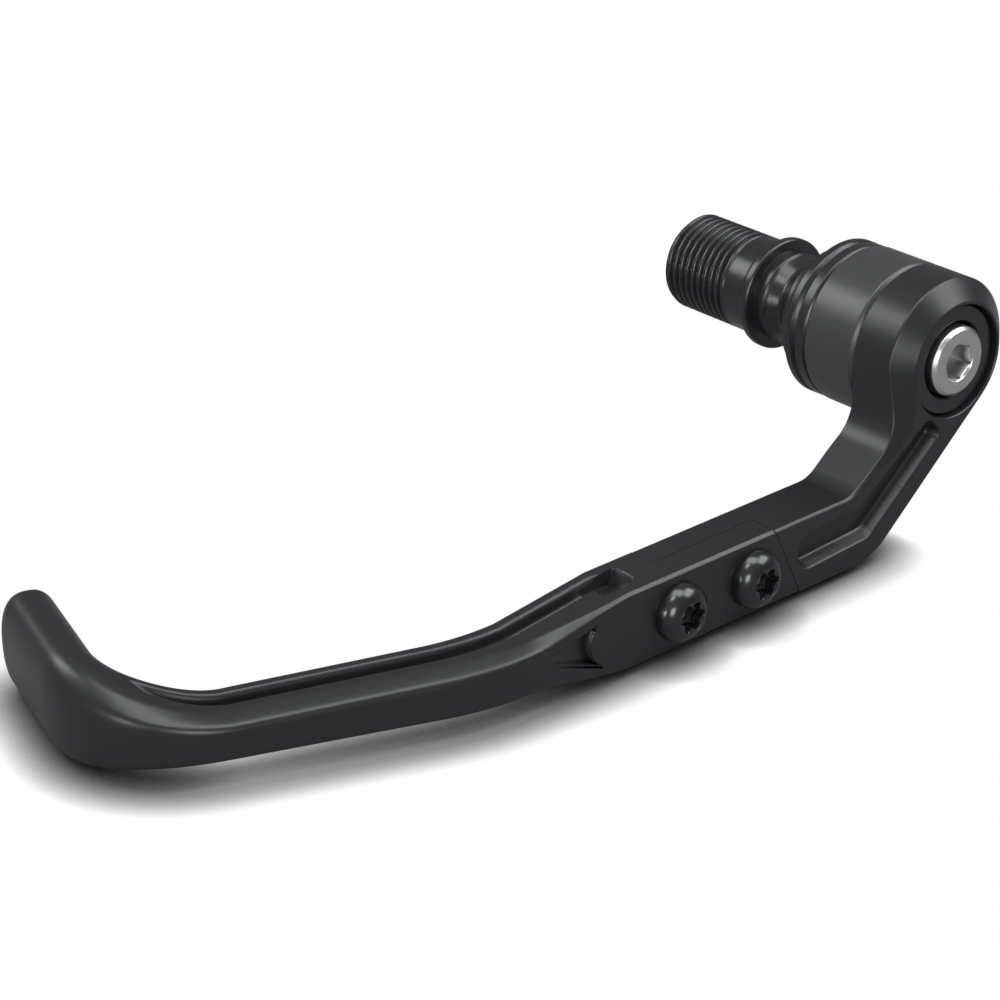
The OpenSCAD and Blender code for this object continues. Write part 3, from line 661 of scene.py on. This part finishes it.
def thread_tree():
    """Winds a thread round the bar's axis as one sheet, joined to the body that is put in."""
    t = Tree("wound thread", [
        ("Geometry", "Geometry"), ("Radius", "Float"), ("Depth", "Float"), ("Pitch", "Float"),
        ("Phase", "Float"), ("Start", "Float"), ("End", "Float"), ("Tip radius", "Float"),
        ("Runout", "Float"), ("Around", "Int"), ("Along", "Int"), ("Material", "Material")])
    grid = t.node("GeometryNodeMeshGrid", i0=1.0, i1=1.0, i2="Along", i3="Around").outputs[0]
    spot = t.node("ShaderNodeSeparateXYZ", i0=t.node("GeometryNodeInputPosition").outputs[0])
    along, around = t.math("ADD", spot.outputs[0], 0.5), t.math("ADD", spot.outputs[1], 0.5)
    length = t.math("SUBTRACT", "End", "Start")
    x = t.math("ADD", "Start", t.math("MULTIPLY", along, length))
    wound = t.math("SUBTRACT", t.math("DIVIDE", x, "Pitch"), around)
    saw = t.math("FRACT", t.math("ADD", wound, "Phase"))
    from_valley = t.math("ABSOLUTE", t.math("SUBTRACT", t.math("MULTIPLY", saw, 2.0), 1.0))
    flank = t.node("ShaderNodeMapRange", {"interpolation_type": "SMOOTHSTEP"},
                   i0=t.math("SUBTRACT", 1.0, from_valley), i1=0.15, i2=0.90).outputs[0]
    fade = t.math("DIVIDE", t.math("SUBTRACT", "End", x), "Runout", clamp=True)
    deep = t.math("MULTIPLY", t.math("MULTIPLY", flank, fade), "Depth")
    lead = t.math("ADD", "Tip radius", t.math("SUBTRACT", x, "Start"))
    r = t.math("MINIMUM", t.math("SUBTRACT", "Radius", deep), lead)
    turn = t.math("MULTIPLY", around, 2 * math.pi)
    place = t.node("ShaderNodeCombineXYZ", i0=x, i1=t.math("MULTIPLY", r, t.math("COSINE", turn)),
                   i2=t.math("MULTIPLY", r, t.math("SINE", turn))).outputs[0]
    sheet = t.node("GeometryNodeSetPosition", Geometry=grid, Position=place).outputs[0]
    sheet = t.node("GeometryNodeFlipFaces", i0=sheet).outputs[0]
    smooth = t.node("GeometryNodeSetShadeSmooth", i0=sheet).outputs[0]
    both = t.node("GeometryNodeJoinGeometry")
    t.tree.links.new(smooth, both.inputs[0])
    t.tree.links.new(t.start.outputs["Geometry"], both.inputs[0])
    merged = t.node("GeometryNodeMergeByDistance", Geometry=both.outputs[0], Distance=1e-6).outputs[0]
    t.close(merged, "Material")
    return t


def row_tree():
    """Puts copies of a piece in a row."""
    t = Tree("screws in a row", [("Geometry", "Geometry"), ("Count", "Int"), ("First", "Vector"),
                                 ("Step", "Vector"), ("Material", "Material")])
    line = t.node("GeometryNodeMeshLine", Count="Count",
                  **{"Start Location": "First", "Offset": "Step"}).outputs[0]
    copies = t.node("GeometryNodeInstanceOnPoints", Points=line, Instance="Geometry").outputs[0]
    t.close(copies, "Material")
    return t


# Shader groups

class Paint:
    """A small helper to build materials and shader groups."""

    def __init__(self, tree):
        self.tree = tree

    def node(self, kind, settings=(), **inputs):
        """A node with its settings and inputs, an input named by its label or as i and its number."""
        made = self.tree.nodes.new(kind)
        for key, value in dict(settings).items():
            setattr(made, key, value)
        for key, value in inputs.items():
            socket = made.inputs[int(key[1:])] if key[0] == "i" and key[1:].isdigit() else made.inputs[key]
            if isinstance(value, bpy.types.NodeSocket):
                self.tree.links.new(value, socket)
            else:
                socket.default_value = value
        return made

    def math(self, operation, a, b=0.0, clamp=False):
        settings = {"operation": operation, "use_clamp": clamp}
        return self.node("ShaderNodeMath", settings, i0=a, i1=b).outputs[0]


def shader_group(name, inputs, outputs):
    """An empty shader group: its tree, a helper for it, and its two ends."""
    tree = bpy.data.node_groups.new(name, "ShaderNodeTree")
    for label, value in inputs:
        socket = tree.interface.new_socket(label, in_out="INPUT", socket_type="NodeSocketFloat")
        socket.default_value = value
    for label in outputs:
        tree.interface.new_socket(label, in_out="OUTPUT", socket_type="NodeSocketFloat")
    return tree, Paint(tree), tree.nodes.new("NodeGroupInput"), tree.nodes.new("NodeGroupOutput")


def grain_group():
    """Fine grain of a moulded or blasted surface, and slow patches of sheen."""
    tree, p, start, end = shader_group("fine grain", [("Grain size", 0.00025), ("Patch size", 0.02)],
                                       ["Height", "Patches"])
    spot = p.node("ShaderNodeTexCoord").outputs["Object"]
    grain = p.node("ShaderNodeTexNoise", Vector=spot, Scale=p.math("DIVIDE", 1.0, start.outputs[0]),
                   Detail=3.0, Roughness=0.6).outputs["Fac"]
    patches = p.node("ShaderNodeTexNoise", Vector=spot, Scale=p.math("DIVIDE", 1.0, start.outputs[1]),
                     Detail=4.0, Roughness=0.55).outputs["Fac"]
    tree.links.new(grain, end.inputs[0])
    tree.links.new(patches, end.inputs[1])
    return tree


def turning_group():
    """Fine rings left by the lathe, round the bar's axis."""
    tree, p, start, end = shader_group("turning marks", [("Ring size", 0.0001)], ["Height", "Rings"])
    spot = p.node("ShaderNodeSeparateXYZ", i0=p.node("ShaderNodeTexCoord").outputs["Object"])
    squares = [p.math("MULTIPLY", spot.outputs[i], spot.outputs[i]) for i in (1, 2)]
    r = p.math("SQRT", p.math("ADD", *squares))
    across = p.node("ShaderNodeCombineXYZ", i0=spot.outputs[0], i1=r, i2=0.0).outputs[0]
    fine = p.node("ShaderNodeTexNoise", Vector=across, Scale=p.math("DIVIDE", 1.0, start.outputs[0]),
                  Detail=2.0, Roughness=0.7).outputs["Fac"]
    slow = p.node("ShaderNodeTexNoise", Vector=across, Scale=900.0, Detail=3.0, Roughness=0.6).outputs["Fac"]
    tree.links.new(fine, end.inputs[0])
    tree.links.new(slow, end.inputs[1])
    return tree


def finish(name, slot, colour, rough, shade_by=0.06, rough_by=0.03, metallic=0.0, grain_mm=0.25, bump=0.1,
           turned=False, **extra):
    """A material: a base colour with slow variation, a varied roughness and a fine bump."""
    material = bpy.data.materials.new(name)
    material.use_nodes = True
    tree = material.node_tree
    p = Paint(tree)
    shader = next(n for n in tree.nodes if n.type == "BSDF_PRINCIPLED")
    marks = p.node("ShaderNodeGroup", {"node_tree": GRAIN})
    marks.inputs["Grain size"].default_value = grain_mm * MM
    height, patches = marks.outputs["Height"], marks.outputs["Patches"]
    if turned:
        rings = p.node("ShaderNodeGroup", {"node_tree": TURNING})
        height = p.math("ADD", p.math("MULTIPLY", height, 0.35), rings.outputs["Height"])
        patches = p.math("ADD", p.math("MULTIPLY", patches, 0.5),
                         p.math("MULTIPLY", rings.outputs["Rings"], 0.5))
    ramp_node = p.node("ShaderNodeValToRGB", Fac=patches)
    low, high = ramp_node.color_ramp.elements
    low.position, high.position = 0.3, 0.7
    low.color = [c * (1 - shade_by) for c in colour] + [1]
    high.color = [c * (1 + shade_by) for c in colour] + [1]
    tree.links.new(ramp_node.outputs["Color"], shader.inputs["Base Color"])
    varied = p.math("ADD", rough - rough_by, p.math("MULTIPLY", patches, 2 * rough_by))
    tree.links.new(varied, shader.inputs["Roughness"])
    shader.inputs["Metallic"].default_value = metallic
    for key, value in extra.items():
        shader.inputs[key.replace("_", " ")].default_value = value
    bumped = p.node("ShaderNodeBump", Height=height, Strength=bump, Distance=0.00004)
    tree.links.new(bumped.outputs[0], shader.inputs["Normal"])
    material["slot"] = slot
    return material


GRAIN, TURNING = grain_group(), turning_group()
COOL = (0.90, 0.93, 1.0, 1.0)
MOULDED = finish("moulded black plastic", "guard_blade", (0.0115, 0.0119, 0.0138), 0.34,
                 grain_mm=0.12, bump=0.12, Specular_Tint=COOL)
MILLED = finish("blasted black anodising", "mount_arm", (0.0112, 0.0116, 0.0134), 0.33,
                grain_mm=0.09, bump=0.10, Specular_Tint=COOL)
TURNED = finish("turned black anodising", "bar_adaptor", (0.0125, 0.0129, 0.0147), 0.25, shade_by=0.08,
                grain_mm=0.08, bump=0.10, turned=True, Specular_Tint=COOL)
GREY = finish("turned grey anodising", "end_sleeve", (0.036, 0.037, 0.040), 0.31,
              grain_mm=0.08, bump=0.14, turned=True, Specular_Tint=COOL)
OXIDE = finish("black oxide steel", "blade_screws", (0.0090, 0.0094, 0.0110), 0.22, shade_by=0.08,
               grain_mm=0.07, bump=0.06, Specular_Tint=COOL, Specular_IOR_Level=0.7)
STEEL = finish("bright steel", "centre_screw", (0.56, 0.56, 0.57), 0.33, rough_by=0.04, metallic=1.0,
               grain_mm=0.08, bump=0.10, turned=True)


# Pieces on the frame

def settle(obj, node, material):
    """Gives a finished piece its material and puts it in the node's place."""
    obj.data.materials.clear()
    obj.data.materials.append(material)
    obj.name = obj.name.replace(" ", "_")
    obj.data.name = obj.name
    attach(obj, "root")
    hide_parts(node)


settle(make_blade(), "guard_blade", MOULDED)
settle(make_arm(), "mount_arm", MILLED)
settle(make_sleeve(), "end_sleeve", GREY)
settle(make_disc(), "spacer_disc", TURNED)
settle(make_washer(), "clamp_washer", TURNED)
settle(make_centre_screw(), "centre_screw", STEEL)

adaptor = make_adaptor_body()
stem = spun("stem end", [(-STEM, 0), (-STEM, THREAD_TIP_R - 0.1), (-STEM, THREAD_TIP_R)])
bm = bmesh.new()
for part in (adaptor, stem):
    bm.from_mesh(part.data)
bm.to_mesh(adaptor.data)
bm.free()
bpy.data.objects.remove(stem)
adaptor.modifiers.clear()
thread_tree().apply(adaptor, Radius=THREAD_R * MM, Depth=THREAD_DEPTH * MM, Pitch=THREAD_PITCH * MM,
                    Phase=0.55, Start=-STEM * MM, End=THREAD_END * MM, Tip_radius=THREAD_TIP_R * MM,
                    Runout=THREAD_FADE * MM, Around=193, Along=190, Material=TURNED)
shade(adaptor, 32)
settle(adaptor, "bar_adaptor", TURNED)

screws = screw_form()
screws.modifiers.clear()
screws.name = "button screws"
row_tree().apply(screws, Count=2, First=(0, -SCREW_NEAR * MM, -DROP * MM),
                 Step=(0, -SCREW_GAP * MM, 0), Material=OXIDE)
shade(screws, 40)
settle(screws, "blade_screws", OXIDE)


# Floor, light and camera

def seen_mix(tree, seen, other, share=1.0, gloss=0.10):
    """Mixes two shaders: the camera sees a large share of the first, and reflections a small one."""
    p = Paint(tree)
    path = p.node("ShaderNodeLightPath")
    straight = p.math("MAXIMUM", path.outputs["Is Camera Ray"], path.outputs["Is Transmission Ray"])
    mirrored = p.math("MULTIPLY", path.outputs["Is Glossy Ray"], gloss)
    both = p.node("ShaderNodeMixShader", i0=p.math("MAXIMUM", p.math("MULTIPLY", straight, share), mirrored))
    tree.links.new(other, both.inputs[1])
    tree.links.new(seen, both.inputs[2])
    return both.outputs[0]


def make_floor():
    """A floor that glows white for the camera, with a painted shadow that darkens it close to the guard. It
    touches the curled end and lies just under the arm.
    """
    size, arm_y, height, slope = 3.0, -0.025, -33.00 * MM, 0.0080
    mesh = bpy.data.meshes.new("floor")
    corners = [(x * size, y * size) for x, y in ((-1, -1), (1, -1), (1, 1), (-1, 1))]
    mesh.from_pydata([(x, y, height + (y - arm_y) * slope) for x, y in corners], [], [(0, 1, 2, 3)])
    floor = bpy.data.objects.new("floor", mesh)
    bpy.context.scene.collection.objects.link(floor)
    paint = bpy.data.materials.new("floor with painted shadow")
    paint.use_nodes = True
    tree = paint.node_tree
    p = Paint(tree)
    shader = next(n for n in tree.nodes if n.type == "BSDF_PRINCIPLED")
    # Painted shadow: the white glow that the camera sees dims where ambient occlusion finds the guard close
    # by.
    close = p.node("ShaderNodeAmbientOcclusion", {"samples": 8}, Distance=0.008).outputs["AO"]
    shade_by = p.math("POWER", close, 3.0)
    shader.inputs["Base Color"].default_value = (0.20, 0.20, 0.20, 1)
    shader.inputs["Roughness"].default_value = 0.9
    shader.inputs["Specular IOR Level"].default_value = 0.0
    white = p.node("ShaderNodeEmission", Color=(1, 1, 1, 1), Strength=shade_by)
    out = next(n for n in tree.nodes if n.type == "OUTPUT_MATERIAL")
    tree.links.new(seen_mix(tree, white.outputs[0], shader.outputs[0], 0.985), out.inputs[0])
    mesh.materials.append(paint)


make_floor()


def make_world():
    """A dim studio, a little brighter overhead and in front; the camera sees it white."""
    world = bpy.data.worlds.new("studio")
    bpy.context.scene.world = world
    world.use_nodes = True
    tree = world.node_tree
    tree.nodes.clear()
    p = Paint(tree)
    spot = p.node("ShaderNodeSeparateXYZ", i0=p.node("ShaderNodeTexCoord").outputs["Generated"])
    up = p.node("ShaderNodeMapRange", Value=spot.outputs[2], i1=0.0, i2=0.9, i3=0.08, i4=0.20).outputs[0]
    front = p.node("ShaderNodeMapRange", Value=spot.outputs[1], i1=0.3, i2=-0.9, i3=0.0, i4=0.26).outputs[0]
    lit = p.node("ShaderNodeBackground", Strength=p.math("ADD", up, front))
    white = p.node("ShaderNodeBackground", Strength=1.0)
    for back in (lit, white):
        back.inputs["Color"].default_value = (1, 1, 1, 1)
    out = p.node("ShaderNodeOutputWorld")
    tree.links.new(seen_mix(tree, white.outputs[0], lit.outputs[0]), out.inputs[0])


MIDDLE = Vector((0.01, -0.08, -0.01))


def softbox(name, direction, distance, width, height, strength):
    """A lamp that shines from a direction; strength is the brightness of its face."""
    light = bpy.data.lights.new(name, "AREA")
    light.shape = "RECTANGLE"
    light.size, light.size_y, light.energy = width, height, strength * math.pi * width * height
    obj = bpy.data.objects.new(name, light)
    bpy.context.scene.collection.objects.link(obj)
    obj.location = MIDDLE + Vector(direction).normalized() * distance
    obj.rotation_mode = "QUATERNION"
    obj.rotation_quaternion = (MIDDLE - obj.location).to_track_quat("-Z", "Y")


make_world()
# Name, direction, distance, width and height in m, and strength of each lamp
for lamp in (("back softbox", (0.45, 0.58, 0.66), 0.75, 0.50, 0.38, 5.0),
             ("overhead softbox", (0.10, 0.05, 0.95), 0.75, 0.36, 0.70, 4.4),
             ("left softbox", (-0.68, -0.38, 0.60), 0.75, 0.26, 0.36, 5.6),
             ("near overhead softbox", (0.18, -0.40, 0.90), 0.75, 0.20, 0.20, 8.0),
             ("low softbox", (0.15, -0.95, 0.12), 0.80, 0.12, 0.20, 13.0),
             ("front softbox", (0.77, -0.58, 0.20), 1.0, 0.38, 0.38, 7.5)):
    softbox(*lamp)


def make_camera():
    """The camera, in front of the outer faces and a little above, with a long lens."""
    camera = bpy.data.cameras.new("camera")
    camera.sensor_width, camera.lens = 36.0, 110.0
    camera.clip_start, camera.clip_end = 0.01, 20
    obj = bpy.data.objects.new("camera", camera)
    bpy.context.scene.collection.objects.link(obj)
    right, up, back = ((0.65374, 0.75657, -0.01477), (-0.32767, 0.30062, 0.89569),
                       (0.68210, -0.58071, 0.44443))
    turn = Matrix((right, up, back)).transposed().to_4x4()
    obj.matrix_world = Matrix.Translation((0.36325, -0.37627, 0.21593)) @ turn
    bpy.context.scene.camera = obj


make_camera()
bpy.context.scene.view_settings.view_transform = "Standard"
